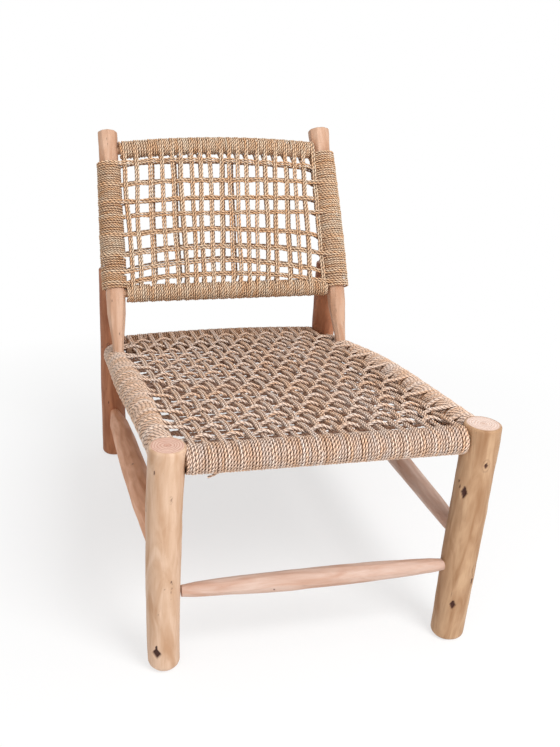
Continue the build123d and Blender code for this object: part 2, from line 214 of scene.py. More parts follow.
class RopeGroup:
    """Ropes that make one piece."""

    def __init__(self, seed):
        self.rng = np.random.default_rng(seed)
        self.verts = []
        self.faces = []
        self.fields = {"fibre": [], "groove": [], "shade": [], "dim": []}
        self.count = 0

    def keep(self, verts, **fields):
        """Takes in vertices and their attributes."""
        self.verts.append(verts)
        for key, values in fields.items():
            self.fields[key].append(values)
        self.count += len(verts)

    def add(self, path, reference, closed=False, radius=ROPE / 2, dim=0.0, lay=LAY):
        """Sweeps a twisted rope along a dense path; another rope lies beside it along reference."""
        # painted shade along the rope, from 0 to 1
        dim = np.broadcast_to(dim, len(path))
        if closed:
            path, reference = (np.vstack([rows, rows[:1]]) for rows in (path, reference))
            dim = np.append(dim, dim[0])
        length = np.concatenate([[0], np.cumsum(np.linalg.norm(np.diff(path, axis=0), axis=1))])
        rings = int(length[-1] / ROPE_STEP)
        at = np.linspace(0, length[-1], rings, endpoint=not closed)
        middle, side = (
            np.stack([np.interp(at, length, column) for column in rows.T], 1)
            for rows in (path, reference)
        )
        if closed:
            tangent = np.roll(middle, -1, 0) - np.roll(middle, 1, 0)
        else:
            tangent = np.gradient(middle, axis=0)
        tangent = units(tangent)
        side = units(side - tangent * (side * tangent).sum(1)[:, None])
        other = np.cross(tangent, side)

        turns = round(length[-1] / lay) if closed else length[-1] / lay
        start = self.rng.uniform(0, 2 * np.pi)
        wobble = noise(self.rng.integers(1 << 30), 9)
        share = at / length[-1]
        lobes = np.arange(AROUND) * 2 * np.pi / AROUND
        angle = (start + 2 * np.pi * turns * share)[:, None] + lobes[None, :]
        thick = radius * (1 + UNEVEN * wobble(share * max(1, round(length[-1] / UNEVEN_LENGTH))))
        outline = thick[:, None] * PLY[None, :]
        ring = (
            middle[:, None, :]
            + side[:, None, :] * (np.cos(angle) * outline)[..., None]
            + other[:, None, :] * (np.sin(angle) * outline)[..., None]
        )

        # the fibres' own place runs straight along each ply and differs from rope to rope
        offset = self.rng.uniform(-50, 50, 3)
        run = np.broadcast_to(at[:, None] + offset[2] * 20, angle.shape)
        fibre = (np.cos(angle) * radius + offset[0], np.sin(angle) * radius + offset[1], run)
        fibre = np.stack(fibre, -1).reshape(-1, 3)
        # painted shade on the side that faces the next rope and in the grooves between the plies
        near = np.clip((np.abs(np.cos(angle)) - CREVICE_SHADE_FROM) / (1 - CREVICE_SHADE_FROM), 0, 1)
        base = self.count
        self.faces.append(tube_faces(rings, AROUND, base, closed))
        self.keep(
            ring.reshape(-1, 3),
            fibre=fibre,
            groove=np.maximum(GROOVE[None, :], CREVICE_SHADE * near).ravel(),
            shade=np.full(rings * AROUND, self.rng.uniform(-1, 1)),
            dim=np.repeat(np.interp(at, length, dim), AROUND),
        )
        if not closed:
            self.faces.append(fan(base, AROUND, self.count, True))
            self.faces.append(fan(base + (rings - 1) * AROUND, AROUND, self.count + 1, False))
            none = np.zeros(2)
            self.keep(middle[[0, -1]], fibre=fibre[[0, 0]], groove=np.ones(2), shade=none, dim=none)

    def finish(self, name, material, nodes):
        fields = {key: np.concatenate(values) for key, values in self.fields.items()}
        fields["fibre"] *= MM
        build(name, np.vstack(self.verts), self.faces, fields, material, nodes)


class Spine:
    """Middle line of a wound pole: straight, or bent by a parabola."""

    def __init__(self, axis, bow=None):
        self.start, self.end = axis
        self.bow = np.zeros(3) if bow is None else bow
        self.length = np.linalg.norm(self.end - self.start)

    def at(self, share):
        share = np.asarray(share, float)[..., None]
        line = self.start + (self.end - self.start) * share
        return line + self.bow * 4 * share * (1 - share)

    def share_at(self, x):
        return (x - self.start[0]) / (self.end[0] - self.start[0])

    def frame_at(self, share, out):
        """Two vectors square to the spine, the first one nearest to out."""
        step = 1e-3
        run = units(self.at(np.asarray(share) + step) - self.at(np.asarray(share) - step))
        first = units(out - run * (run @ out)[..., None])
        return first, np.cross(run, first)


POINTS_PER_TURN = 40
STEP_ACROSS = 0.16  # share of a turn in which the rope steps on to the next one
STEP_AT = np.radians(205)  # where it does so, on the side of a pole that is least seen
TUCK = 0.07  # share of a turn in which a run's end sinks under its neighbours
WANDER = 0.45  # of a turn along the pole
SLANT = 0.5
LIFT = 0.3  # of a turn off the pole
PROUD = 0.6  # a strand looped round a pole stands this much above the turns beside it


def wind(group, spine, core, run, strands, pitch, belly, shade_share, seed):
    """Rope turns round a pole, in short runs that leave room for the strands looped round it."""
    rng = np.random.default_rng(seed)
    edges = [run[0]]
    for place in sorted(strands):
        edges += [place - ROPE, place + ROPE]
    edges.append(run[1])
    for low, high in zip(edges[::2], edges[1::2]):
        turns = round((high - low) / pitch)
        if turns < 1:
            continue
        t = np.linspace(0, turns - STEP_ACROSS, turns * POINTS_PER_TURN)
        part = (t % 1 - 1 + STEP_ACROSS) / STEP_ACROSS
        stepped = np.floor(t) + 0.5 + ease(part)
        place = low + (high - low) * stepped / turns
        angle = 2 * np.pi * t + STEP_AT + np.pi * STEP_ACROSS
        wander = noise(rng.integers(1 << 30), 5)
        place = place + WANDER * wander(t / 4) + rng.uniform(0, SLANT) * np.sin(angle)
        share = place / spine.length
        lift = LIFT * noise(rng.integers(1 << 30), 7)(t / 3)
        ends = np.minimum(t, turns - STEP_ACROSS - t)
        tuck = ROPE * np.clip(1 - ends / TUCK, 0, 1) ** 2
        radius = core + ROPE / 2 + lift - tuck + belly(share)
        up, beside = spine.frame_at(share, UP)
        radial = up * np.cos(angle)[:, None] + beside * np.sin(angle)[:, None]
        path = spine.at(share) + radial * radius[:, None]
        # the whole winding is darkened by painted shade, by the share given in its row
        group.add(path, np.cross(up, beside), dim=shade_share)


class Panel:
    """A woven panel: along runs up the warps and out stands square to it."""

    def __init__(self, low, high, rows):
        self.low, self.high, self.rows = low, high, rows
        self.origin = low.at(0.5) - low.bow
        top = high.at(0.5) - high.bow
        self.length = np.linalg.norm(top - self.origin)
        self.along = unit(top - self.origin)
        self.out = np.cross(RIGHT, self.along)

    def flat(self, where):
        """Distances along the panel and out of it."""
        offset = where - self.origin
        return np.array([offset @ self.along, offset @ self.out])

    def world(self, x, distance, height):
        spot = self.origin + np.outer(distance, self.along) + np.outer(height, self.out)
        spot[:, 0] = x
        return spot

    def rail_at(self, spine, x):
        """A cross rail's middle, in the plane of a warp."""
        return self.flat(spine.at(spine.share_at(x)))

    def share_of(self, spine, distance):
        """Share of a side pole's length at a distance along the panel."""
        run = spine.end - spine.start
        offset = self.origin + self.along * distance - spine.start
        return (offset @ self.along) / (run @ self.along)


def row_at(row, share):
    """Where a weft lies along its panel, from its places at the left, middle and right."""
    left, middle, right = row
    share = np.clip(share, -1, 1)
    return middle + (right - left) / 2 * share + ((left + right) / 2 - middle) * share**2


PATH_STEP = 0.9  # between the points of a strand's path
UNDER_STEP = 2.0  # and of one that only lies in the lower layer


def arc(centre, radius, start, stop):
    """Points round a rail, from one angle to another."""
    count = max(4, int(abs(stop - start) * radius / PATH_STEP))
    angle = np.linspace(start, stop, count)
    return centre + radius * np.stack([np.cos(angle), np.sin(angle)], 1)


def run_between(start, stop, step=PATH_STEP):
    count = max(3, int(np.linalg.norm(stop - start) / step))
    return start + (stop - start) * np.linspace(0, 1, count)[:, None]


def ease(value):
    value = np.clip(value, 0, 1)
    return value * value * (3 - 2 * value)


def inside(place, start, stop, reach):
    """Rises from 0 at the start and the stop of a run to 1 at this reach from both."""
    return ease((place - start) / reach) * ease((stop - place) / reach)


def loop_round(low, high, radii):
    """Parts of a strand's loop round two rails: round the low one, over, round the high, under."""
    first = arc(low, radii[0], -np.pi / 2, -3 * np.pi / 2)
    last = arc(high, radii[1], np.pi / 2, -np.pi / 2)
    over = run_between(first[-1], last[0])[1:-1]
    under = run_between(last[-1], first[0])[1:-1]
    return first, over, last, under


def joined(first, over, last, under):
    """The loop as one closed path, and how much each of its points belongs to the face side."""
    turn = 40  # points in which the lower run leaves the face side's places
    ends = np.minimum(np.arange(len(under)), np.arange(len(under))[::-1])
    face = [np.ones(len(first) + len(over) + len(last)), 1 - ease(ends / turn)]
    return np.vstack([first, over, last, under]), np.concatenate(face)


# ---------------------------------------------------------------- materials
class Nodes:
    """Short names for making and joining shader nodes."""

    def __init__(self, tree):
        self.tree = tree

    def feed(self, node, inputs):
        """Sets inputs to numbers, colours and vectors, or joins them to other nodes' outputs."""
        for key, value in dict(inputs).items():
            socket = node.inputs[key]
            if isinstance(value, (int, float)):
                socket.default_value = value
            elif isinstance(value, tuple):
                socket.default_value = (*value, 1.0)[: len(socket.default_value)]
            else:
                self.tree.links.new(value, socket)
        return node

    def add(self, kind, inputs=(), **settings):
        node = self.tree.nodes.new(kind)
        for key, value in settings.items():
            setattr(node, key, value)
        return self.feed(node, inputs)

    def attribute(self, name, output="Fac"):
        return self.add("ShaderNodeAttribute", attribute_name=name).outputs[output]

    def scaled(self, vector, along):
        """A place whose last axis, the one along a rope or a pole, is scaled."""
        return self.add("ShaderNodeMapping", {"Vector": vector, "Scale": (1, 1, along)}).outputs[0]

    def noise(self, vector, scale, detail, rough=0.6, distortion=0.0):
        inputs = {"Vector": vector, "Scale": scale, "Detail": detail, "Roughness": rough}
        inputs["Distortion"] = distortion
        return self.add("ShaderNodeTexNoise", inputs).outputs["Fac"]

    def range(self, value, low, high, to_low=0.0, to_high=1.0):
        inputs = {"Value": value, "From Min": low, "From Max": high}
        inputs.update({"To Min": to_low, "To Max": to_high})
        return self.add("ShaderNodeMapRange", inputs).outputs[0]

    def math(self, operation, *values):
        return self.add("ShaderNodeMath", enumerate(values), operation=operation).outputs[0]

    def length(self, vector):
        node = self.add("ShaderNodeVectorMath", {0: vector}, operation="LENGTH")
        return node.outputs["Value"]

    def mix(self, share, one, other):
        """One colour, and a share of another over it."""
        return self.add("ShaderNodeMix", {0: share, 6: one, 7: other}, data_type="RGBA").outputs[2]

    def bump(self, height, strength, distance):
        inputs = {"Height": height, "Strength": strength, "Distance": distance}
        return self.add("ShaderNodeBump", inputs).outputs[0]


def new_material(name):
    material = bpy.data.materials.new(name)
    material.use_nodes = True
    tree = material.node_tree
    return material, Nodes(tree), tree.nodes["Principled BSDF"]


def linear(red, green, blue):
    """Shader colour of a screen colour given in 0 to 255."""
    screen = np.array([red, green, blue]) / 255
    return tuple(np.where(screen <= 0.04045, screen / 12.92, ((screen + 0.055) / 1.055) ** 2.4))


def rope_material(name, *colours):
    """Twisted grass in pale, golden, dark and a shadow brown: painted shade between the plies, and
    painted shade in the shadow brown where the mesh marks it.
    """
    pale, golden, dark, shadow_brown = (linear(*colour) for colour in colours)
    material, n, shader = new_material(name)
    fibre = n.attribute("fibre", "Vector")
    groove, shade, dim = (n.attribute(key) for key in ("groove", "shade", "dim"))
    patches = n.noise(n.scaled(fibre, 1), 38, 3.0)
    threads = n.noise(n.scaled(fibre, 0.06), 1500, 3.0, 0.7)
    straws = n.noise(n.scaled(fibre, 0.03), 600, 2.0, 0.5)
    blend = n.math("ADD", n.range(patches, 0.3, 0.7), n.math("MULTIPLY", shade, 0.25))
    colour = n.mix(blend, golden, pale)
    colour = n.mix(n.range(threads, 0.3, 0.48, 0.5, 0.0), colour, dark)
    colour = n.mix(n.range(straws, 0.62, 0.72, 0.0, 0.5), colour, pale)
    # painted shade in the grooves between the plies and where ropes lie together
    colour = n.mix(n.range(groove, 0.28, 0.95, 0.0, 0.95), colour, dark)
    # painted shade: toward the shadow brown, by the mesh's painted shade attribute
    colour = n.mix(n.math("MULTIPLY", dim, 0.85), colour, n.mix(threads, dark, shadow_brown))
    n.feed(shader, {"Base Color": colour, "Roughness": 0.72, "Specular IOR Level": 0.3})
    n.feed(shader, {"Normal": n.bump(threads, 0.6, 0.0006)})
    return material


SPECK = linear(110, 70, 48)
KNOT = linear(64, 30, 18)
CRACK = linear(38, 20, 14)
END_GRAIN = (linear(224, 190, 172), linear(190, 138, 118))
# paler end grain for the right front leg's top: painted light
LIT_END_GRAIN = (linear(230, 208, 196), linear(204, 170, 152))
RING_TURNS = 1500  # year rings are this many radians in a metre


def wood_material(name, light, deep, ends=END_GRAIN, carved=True):
    """Peeled and sun-dried pole: grain along it, rings on its ends, dark knots and cracks."""
    light, deep = linear(*light), linear(*deep)
    material, n, shader = new_material(name)
    grain = n.attribute("grain", "Vector")
    if not carved:
        grain = n.add("ShaderNodeTexCoord").outputs["Object"]
    knot, crack, cut = (n.attribute(key) for key in ("knot", "crack", "cut"))
    streaks = n.noise(n.scaled(grain, 0.05), 420, 4.0)
    broad = n.noise(n.scaled(grain, 0.2), 55, 3.0, 0.55, 0.6)
    blotch = n.noise(n.scaled(grain, 0.5), 18, 3.0)
    specks = n.noise(n.scaled(grain, 0.3), 900, 2.0)
    colour = n.mix(n.range(broad, 0.35, 0.68), light, deep)
    colour = n.mix(n.range(blotch, 0.5, 0.75, 0.0, 0.45), colour, deep)
    colour = n.mix(n.range(streaks, 0.52, 0.72, 0.0, 0.35), colour, deep)
    colour = n.mix(n.range(specks, 0.66, 0.76, 0.0, 0.3), colour, SPECK)

    # sawn ends: rings that wander, a darker rim and a dark heart
    out = n.length(n.scaled(grain, 0))
    wandered = n.math("ADD", out, n.math("MULTIPLY", broad, 0.008))
    rings = n.range(n.math("SINE", n.math("MULTIPLY", wandered, RING_TURNS)), -1, 1)
    end = n.mix(n.range(rings, 0.45, 0.95, 0.0, 0.8), *ends)
    end = n.mix(n.range(out, 0.022, 0.027, 0.0, 0.7), end, ends[1])
    end = n.mix(n.range(blotch, 0.45, 0.7, 0.0, 0.4), end, ends[1])
    end = n.mix(n.range(out, 0.002, 0.007, 0.6, 0.0), end, ends[1])

    colour = n.mix(cut, colour, end)
    colour = n.mix(n.range(knot, 0.05, 0.9), colour, KNOT)
    colour = n.mix(n.range(crack, 0.2, 0.9), colour, CRACK)
    roughness = n.range(broad, 0.3, 0.7, 0.5, 0.66)
    n.feed(shader, {"Base Color": colour, "Roughness": roughness, "Specular IOR Level": 0.35})
    ridges = n.math("ADD", n.math("MULTIPLY", streaks, 0.7), n.math("MULTIPLY", rings, cut))
    n.feed(shader, {"Normal": n.bump(ridges, 0.35, 0.0008)})
    return material


leg_wood = wood_material("leg_wood", (212, 180, 154), (184, 144, 112))
# darker copy of the leg wood for the right front leg: painted shade, with painted light on its top
shaded_right_leg_wood = wood_material("shaded_right_leg_wood", (192, 156, 122), (154, 114, 80), LIT_END_GRAIN)
# darker copy of the leg wood: painted shade, as the rear legs stand under the seat and the back
shaded_rear_wood = wood_material("rear_leg_wood", (186, 124, 88), (146, 88, 58))
upright_wood = wood_material("upright_wood", (214, 176, 150), (188, 142, 112))
stretcher_wood = wood_material("stretcher_wood", (208, 182, 168), (188, 150, 130))
side_wood = wood_material("side_stretcher_wood", (226, 170, 134), (196, 136, 100))
core_wood = wood_material("core_wood", (214, 180, 150), (180, 138, 104), carved=False)

# the last colour of each rope is the shadow brown of its painted shade
seat_rope = rope_material("seat_rope", (255, 236, 222), (252, 208, 172), (78, 42, 28), (150, 100, 68))
back_rope = rope_material("back_rope", (255, 232, 204), (246, 194, 146), (70, 38, 24), (176, 122, 80))
# a darker copy of the seat rope, for the rear rail's winding
darker_seat_rope = rope_material("darker_seat_rope", (232, 200, 176), (204, 158, 122), (70, 40, 26), (150, 100, 68))


# ---------------------------------------------------------------- poles
POLE_AROUND = 100
POLE_STEP = 2.1  # between the rings of a pole's mesh
CAP_RINGS = 12
CAP_SHRINK = np.linspace(1, 0, CAP_RINGS + 1)[1:-1, None]
LOBES = ((2, 0.6), (3, 0.4), (4, 0.26), (6, 0.1), (9, 0.05))  # how far out of round, by order
GRAIN_SHIFT = 0.37  # in metres, between the grains of two seeds


class Knot(NamedTuple):
    """A branch's trace: a dark hollow on a swelling, and a ring round it if it has one."""

    at: float  # along the pole
    angle: float
    wide: float  # half of it
    tall: float
    deep: float
    ring: float = 0.0
    swelling: float = 0.8


class Crack(NamedTuple):
    """A check in the wood, which wanders from side to side by its drift."""

    start: float  # along the pole
    stop: float
    angle: float
    width: float
    depth: float
    drift: float


class Pole:
    """A peeled pole: its mesh is worked out ring by ring in its own axes, then placed."""

    def __init__(self, axis, stations, seed, bend=(0, 0), lumps=0.5, flats=0, knots=(), cracks=()):
        self.start, end = axis
        self.run = unit(end - self.start)
        reference = UP if abs(self.run[2]) < 0.7 else RIGHT
        self.up = unit(reference - self.run * (self.run @ reference))
        self.side = np.cross(self.run, self.up)
        self.bend, self.lumps, self.flats = bend, lumps, flats
        self.knots, self.cracks = knots, cracks
        radii, places = zip(*stations)
        at = [
            np.linspace(low, high, max(2, int((high - low) / POLE_STEP) + 1), endpoint=False)
            for low, high in zip(places, places[1:])
        ]
        self.at = np.concatenate([*at, [places[-1]]])
        self.base = np.interp(self.at, places, radii)
        self.share = (self.at - places[0]) / (places[-1] - places[0])
        self.angle = np.arange(POLE_AROUND) * 2 * np.pi / POLE_AROUND
        self.seed = seed
        self.seeds = np.random.default_rng(seed).integers(0, 1 << 30, 8)

    def from_angle(self, angle):
        """Angles from a direction to every spot round the pole, between -pi and pi."""
        return (self.angle[None, :] - angle + np.pi) % (2 * np.pi) - np.pi

    def hewn(self):
        """Radius of every spot: out of round, with long shallow hollows and knife flats."""
        share, seeds = self.share, self.seeds
        shape = np.zeros((len(self.at), POLE_AROUND))
        for lobe, size in LOBES:
            turn = noise(seeds[0] + lobe, 3)(share) * 2.2
            grow = noise(seeds[1] + lobe, 5)(share * 1.3)
            shape += size * grow[:, None] * np.cos(lobe * self.angle[None, :] + turn[:, None])
        shape += 0.35 * noise(seeds[2], 14)(share * 1.7)[:, None]
        radius = self.base[:, None] + shape * self.lumps
        if self.flats:
            step = 2 * np.pi / self.flats
            swing = noise(seeds[3], 3)(share) * 0.25
            turned = (self.angle[None, :] + swing[:, None]) % step - step / 2
            facet = np.cos(step / 2) / np.cos(turned)
            radius = radius * np.minimum(facet * 1.012, 1.0)
        return radius

    def cut_knots(self, radius):
        """Carves the knots into the radius; gives how dark they make every spot."""
        dark = np.zeros_like(radius)
        for knot in self.knots:
            beside = self.from_angle(np.radians(knot.angle)) * self.base[:, None]
            apart = self.at[:, None] - knot.at
            reach = (apart / (2.4 * knot.tall)) ** 2 + (beside / (3.0 * knot.wide)) ** 2
            radius += knot.swelling * np.exp(-reach)
            diamond = np.abs(apart) / knot.tall + np.abs(beside) / knot.wide
            hollow = np.clip((1.15 - diamond) * 4, 0, 1)
            radius -= knot.deep * hollow
            dark = np.maximum(dark, hollow * min(1, knot.deep))
            far = np.sqrt((apart / knot.tall) ** 2 + (beside / knot.wide) ** 2)
            dark = np.maximum(dark, knot.ring * np.exp(-(((far - 1.9) / 0.28) ** 2)))
        return dark

    def cut_cracks(self, radius):
        """Carves the cracks into the radius; gives how dark they make every spot."""
        dark = np.zeros_like(radius)
        for crack in self.cracks:
            wander = noise(self.seeds[4] + int(crack.start), 6)
            centre = np.radians(crack.angle) + crack.drift * wander(self.at / 90) / self.base
            beside = self.from_angle(centre[:, None]) * self.base[:, None]
            middle, half = (crack.start + crack.stop) / 2, (crack.stop - crack.start) / 2
            taper = np.clip(1 - ((self.at - middle) / half) ** 2, 0, 1) ** 0.5
            opening = np.maximum(crack.width * taper, 1e-6)[:, None]
            groove = np.clip(1 - np.abs(beside) / opening, 0, 1) * (taper > 0)[:, None]
            radius -= crack.depth * groove * taper[:, None]
            dark = np.maximum(dark, groove)
        return dark

    def cap(self, which, ring, centre):
        """Rings and heart of a sawn end, in soft waves, from its edge and middle."""
        at = CAP_SHRINK * 0.6 + self.angle / (2 * np.pi)
        wave = 0.35 * noise(self.seeds[7] + which, 4)(at)
        rings = centre + (ring - centre)[None] * CAP_SHRINK[..., None]
        rings = rings + self.run * (wave * (1 - CAP_SHRINK**6))[..., None]
        return np.vstack([rings.reshape(-1, 3), centre + self.run * wave[-1].mean()])

    def make(self, name, material, slot, nodes, cut_plane=None, floor=False):
        radius = self.hewn()
        knot = self.cut_knots(radius)
        crack = self.cut_cracks(radius)
        arch = np.sin(np.pi * self.share)[:, None]
        sway = np.stack([noise(self.seeds[k], 3)(self.share) for k in (5, 6)], 1)
        sway = (np.array(self.bend) + 0.7 * sway) * arch
        along_pole = self.start + self.run * self.at[:, None]
        centre = along_pole + self.up * sway[:, :1] + self.side * sway[:, 1:]
        cos, sin = np.cos(self.angle), np.sin(self.angle)
        out = self.up * cos[:, None] + self.side * sin[:, None]
        ring = centre[:, None, :] + out[None, :, :] * radius[..., None]
        height = np.broadcast_to(self.at[:, None], radius.shape)
        grain = np.stack([cos[None, :] * radius, sin[None, :] * radius, height], -1)

        verts, grains = [ring.reshape(-1, 3)], [grain.reshape(-1, 3)]
        faces = [tube_faces(len(self.at), POLE_AROUND)]
        count = radius.size
        for which in (0, -1):
            verts.append(self.cap(which, ring[which], centre[which]))
            flat = grain[which][None] * CAP_SHRINK[..., None]
            flat[..., 2] = self.at[which]
            grains += [flat.reshape(-1, 3), [[0, 0, self.at[which]]]]
            outer = which % len(self.at) * POLE_AROUND
            for inner in count + np.arange(CAP_RINGS - 1) * POLE_AROUND:
                quads = band(outer, inner, POLE_AROUND)
                faces.append(quads if which else quads[:, ::-1])
                outer = inner
            count += len(verts[-1])
            faces.append(fan(outer, POLE_AROUND, count - 1, not which))
        verts = np.vstack(verts)
        on_caps = np.zeros(count - radius.size)
        fields = {
            "grain": np.vstack(grains) * MM + np.array([0, 0, self.seed * GRAIN_SHIFT]),
            "knot": np.append(knot, on_caps),
            "crack": np.append(crack, on_caps),
            "cut": np.append(np.zeros_like(radius), on_caps + 1),
        }
        if floor:
            verts[:, 2] = np.maximum(verts[:, 2], 0)
        if cut_plane is not None:
            spot, normal = cut_plane
            over = (verts - spot) @ normal
            sawn = over > 0
            verts[sawn] -= self.run * (over / (self.run @ normal))[sawn, None]
            fields["cut"][sawn] = 1
        build(name, verts, faces, fields, material, nodes)


# ---------------------------------------------------------------- wood of the chair
FOOT = 9  # how high a log's foot is rounded
LEFT_FOOT = 14
FRONT_LEG_RADII = {"left": (25.4, 27.2, 28), "right": (28, 30.3, 30)}  # foot, middle, top
REAR_LEG_RADII = (27, 26.5, 26)
RIGHT_FOOT_INWARD = 5
WHITTLED = 20  # length of a stretcher's thin end

LEFT_LEG_KNOTS = (
    Knot(42, 236, 7.5, 10.0, 3.4, swelling=1.2),
    Knot(53, 236, 1.6, 6.0, 1.5, swelling=0.0),
    Knot(178, 289, 1.6, 3.0, 1.0),
    Knot(166, 268, 0.9, 4.0, 0.8),
    Knot(367, 224, 1.0, 5.0, 1.0),
    Knot(324, 280, 1.4, 3.4, 0.6, 0.3),
    Knot(118, 246, 0.9, 3.0, 0.5),
    Knot(210, 30, 4.0, 8.0, 2.0, 0.5),
)
LEFT_LEG_CRACKS = (
    Crack(52, 62, 236, 0.9, 1.2, 0.5),
    Crack(144, 180, 291, 0.9, 1.2, 1.5),
    Crack(292, 330, 184, 0.9, 1.2, 1.5),
    Crack(60, 330, 60, 1.4, 2.2, 6.0),
)
RIGHT_LEG_KNOTS = (
    Knot(288, 217, 5.0, 12.0, 3.4, swelling=1.8),
    Knot(304, 193, 1.6, 3.0, 1.4),
    Knot(296, 202, 1.3, 3.0, 1.2),
    Knot(340, 269, 3.4, 5.6, 2.0, 0.3, 1.2),
    Knot(76, 243, 4.8, 9.5, 3.0, swelling=1.4),
    Knot(118, 304, 2.8, 9.0, 2.0),
    Knot(140, 20, 4.0, 8.0, 2.0, 0.5),
)
RIGHT_LEG_CRACKS = (
    Crack(86, 106, 236, 1.3, 1.8, 0.6),
    Crack(112, 162, 296, 1.2, 1.8, 3.0),
    Crack(60, 340, 80, 1.5, 2.4, 6.0),
)
REAR_LEG_KNOTS = (
    Knot(274, 247, 2.6, 3.4, 1.2, 0.9),
    Knot(267, 204, 1.6, 2.6, 1.2),
    Knot(136, 241, 1.4, 3.0, 1.2),
    Knot(250, 70, 3.5, 7.0, 2.0, 0.5),
)
REAR_LEG_CRACKS = (Crack(166, 190, 232, 0.8, 1.0, 1.0), Crack(40, 300, 100, 1.3, 2.0, 6.0))


def leg_stations(radii, length, rounding=FOOT):
    """Radii and heights of a rounded foot, a body and an eased top."""
    low, middle, high = radii
    turns = np.radians([18, 40, 62, 80, 90])
    foot = [(low - rounding * (1 - np.sin(t)), rounding * (1 - np.cos(t))) for t in turns]
    top = [(high, length - 3.0), (high - 0.8, length - 1.0), (high - 2.5, length)]
    return foot + [(middle, length / 2)] + top


def make_cores():
    """The wound rails' hidden cores, and the pegs, are the CAD's own solids."""
    for node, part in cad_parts.items():
        if "_rail" in node or "_peg" in node:
            part.data.materials.clear()
            part.data.materials.append(core_wood)


def make_legs():
    left = Pole(
        FRONT_LEG["left"], leg_stations(FRONT_LEG_RADII["left"], FRONT_HEIGHT, LEFT_FOOT), 3,
        bend=(-4.0, 0), knots=LEFT_LEG_KNOTS, cracks=LEFT_LEG_CRACKS,
    )
    left.make("leg_front_left", leg_wood, "leg_wood", ["front_leg_left"], floor=True)

    foot, top = FRONT_LEG["right"]
    right = Pole(
        (foot - RIGHT * RIGHT_FOOT_INWARD, top),
        leg_stations(FRONT_LEG_RADII["right"], FRONT_HEIGHT + 0.1), 8,
        bend=(0.5, 0), lumps=0.8, knots=RIGHT_LEG_KNOTS, cracks=RIGHT_LEG_CRACKS,
    )
    right.make("leg_front_right", shaded_right_leg_wood, "leg_wood", ["front_leg_right"], floor=True)

    for side, seed in (("left", 14), ("right", 21)):
        rear = Pole(
            REAR_LEG[side], leg_stations(REAR_LEG_RADII, REAR_HEIGHT), seed,
            knots=REAR_LEG_KNOTS, cracks=REAR_LEG_CRACKS,
        )
        foot, top = UPRIGHT[side]
        behind = np.cross(unit(top - foot), RIGHT)
        plane = (foot + behind * (CAD_UPRIGHT_RADIUS + ROPE + GAP), -behind)
        rear.make("leg_rear_" + side, shaded_rear_wood, "rear_leg_wood", ["rear_leg_" + side], plane, True)


def make_uprights():
    for side, seed in (("left", 31), ("right", 44)):
        length = np.linalg.norm(UPRIGHT[side][1] - UPRIGHT[side][0])
        body, top = UPRIGHT_RADIUS, UPRIGHT_TOP_RADIUS[side]
        stations = [(11, -9), (11, 26), (14.5, 60), (19.5, 105), (body, 135), (body, length - 60)]
        stations += [(top, length - 14), (top, length - 3)]
        stations += [(top - 0.9, length - 1), (top - 2.6, length)]
        cracks = [Crack(length - 90, length - 2, 80, 0.9, 1.2, 3.0)]
        if side == "left":
            knots = [Knot(130, 241, 1.7, 2.0, 1.2, 0.3), Knot(60, 280, 0.9, 3.0, 0.8)]
            cracks.append(Crack(length - 52, length - 20, 262, 0.5, 0.7, 1.5))
        else:
            knots = []
            cracks.append(Crack(42, 68, 298, 1.1, 1.8, 1.0))
            cracks.append(Crack(74, 100, 240, 0.6, 0.8, 2.0))
        pole = Pole(UPRIGHT[side], stations, seed, lumps=0.45, flats=9, knots=knots, cracks=cracks)
        pole.make("post_" + side, upright_wood, "upright_wood", ["upright_" + side])


def stretcher(node, axis, posts, radii, seed, knot=None, crack=None, thin=WHITTLED, wood=None):
    """Spindle whose ends are whittled down and run on a little into the legs."""
    length = np.linalg.norm(axis[1] - axis[0])
    first, last = posts[0], length - posts[1]
    near, far = first + WHITTLED, last - thin
    shoulder, swell = radii
    stations = [(9.5, first - 3), (10.0, first + 2)]
    for share in np.linspace(0, 1, 11):
        radius = shoulder + (swell - shoulder) * 4 * share * (1 - share)
        stations.append((radius, near + (far - near) * share))
    stations += [(10.0, last - 2), (9.5, last + 3)]
    knots = [*filter(None, [knot]), Knot(length * 0.7, 200, 3.0, 5.0, 1.6, 0.5)]
    cracks = [*filter(None, [crack]), Crack(length * 0.3, length * 0.62, 210, 0.8, 1.1, 4.0)]
    pole = Pole(axis, stations, seed, flats=11, knots=knots, cracks=cracks)
    name = node.replace("stretcher", "brace")
    pole.make(name, wood or stretcher_wood, "stretcher_wood", [node])


def make_stretchers():
    """Each from its node, axis, the radii of the legs it enters and its own, ends and middle."""
    stretcher(
        "front_stretcher", across(FRONT_LEG, 141), (28, 33), (12, 17), 52,
        Knot(171, 102, 1.5, 1.8, 0.9), Crack(210, 236, 96, 0.4, 0.5, 0.6),
    )
    stretcher("rear_stretcher", across(REAR_LEG, 150), (27, 27), (13, 16), 57)
    axis = along(FRONT_LEG["left"], 202), along(REAR_LEG["left"], 108)
    knot = Knot(354, 344, 2.2, 2.6, 1.2, 0.2)
    stretcher("side_stretcher_left", axis, (28, 27), (20, 24), 63, knot, thin=90, wood=side_wood)
    axis = along(FRONT_LEG["right"], 188), along(REAR_LEG["right"], 190)
    stretcher("side_stretcher_right", axis, (33, 27), (15, 18.5), 68)


